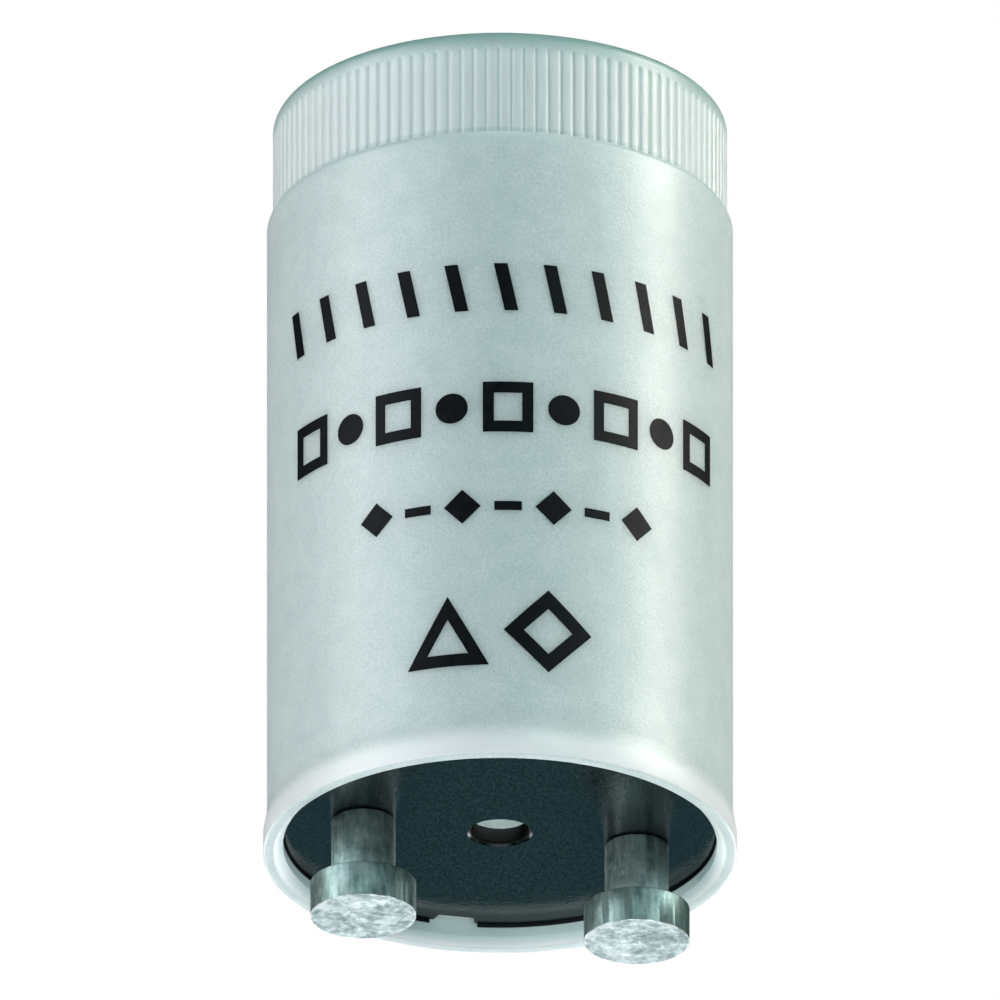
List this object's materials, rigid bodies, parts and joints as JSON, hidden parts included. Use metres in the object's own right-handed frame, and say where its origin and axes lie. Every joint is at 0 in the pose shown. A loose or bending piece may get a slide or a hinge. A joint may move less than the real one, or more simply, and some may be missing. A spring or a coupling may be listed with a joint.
{
  "type": "fluorescent starter",
  "caption": "Round glow starter for fluorescent lamps: white plastic canister with a ridged grip, dark base plate and headed contact pins; a glow bulb and a capacitor inside.",
  "frame": {"origin": "centre of the closed end's outer face, on which the part stands", "axes": "+Z along the canister towards the contact pins, +X through the centre of contact pin a, +Y towards a key rib"},
  "size_m": [0.0216, 0.0216, 0.0403],
  "materials": {
    "case_plastic": "satin, slightly translucent",
    "plate_board": "semi-gloss with a fine grain",
    "pin_metal": "drawn sides, rough end faces",
    "bulb_glass": "clear",
    "stem_glass": "clear, pressed",
    "electrode_nickel": "dull nickel",
    "bimetal": "rolled strip",
    "bulb_wire": "copper coated",
    "capacitor_wrap": "rolled film under resin",
    "tinned_wire": "tinned",
    "print_ink": "printed"
  },
  "bodies": {
    "root": {"canister": "case_plastic", "base_plate": "plate_board", "contact_pin_a": "pin_metal", "contact_pin_b": "pin_metal", "bulb_envelope": "bulb_glass", "bulb_stem": "stem_glass", "fixed_electrode": "electrode_nickel", "bimetal_strip": "bimetal", "bulb_lead_a": "bulb_wire", "bulb_lead_b": "bulb_wire", "capacitor_body": "capacitor_wrap", "capacitor_lead_a": "tinned_wire", "capacitor_lead_b": "tinned_wire"}
  },
  "joints": []
}
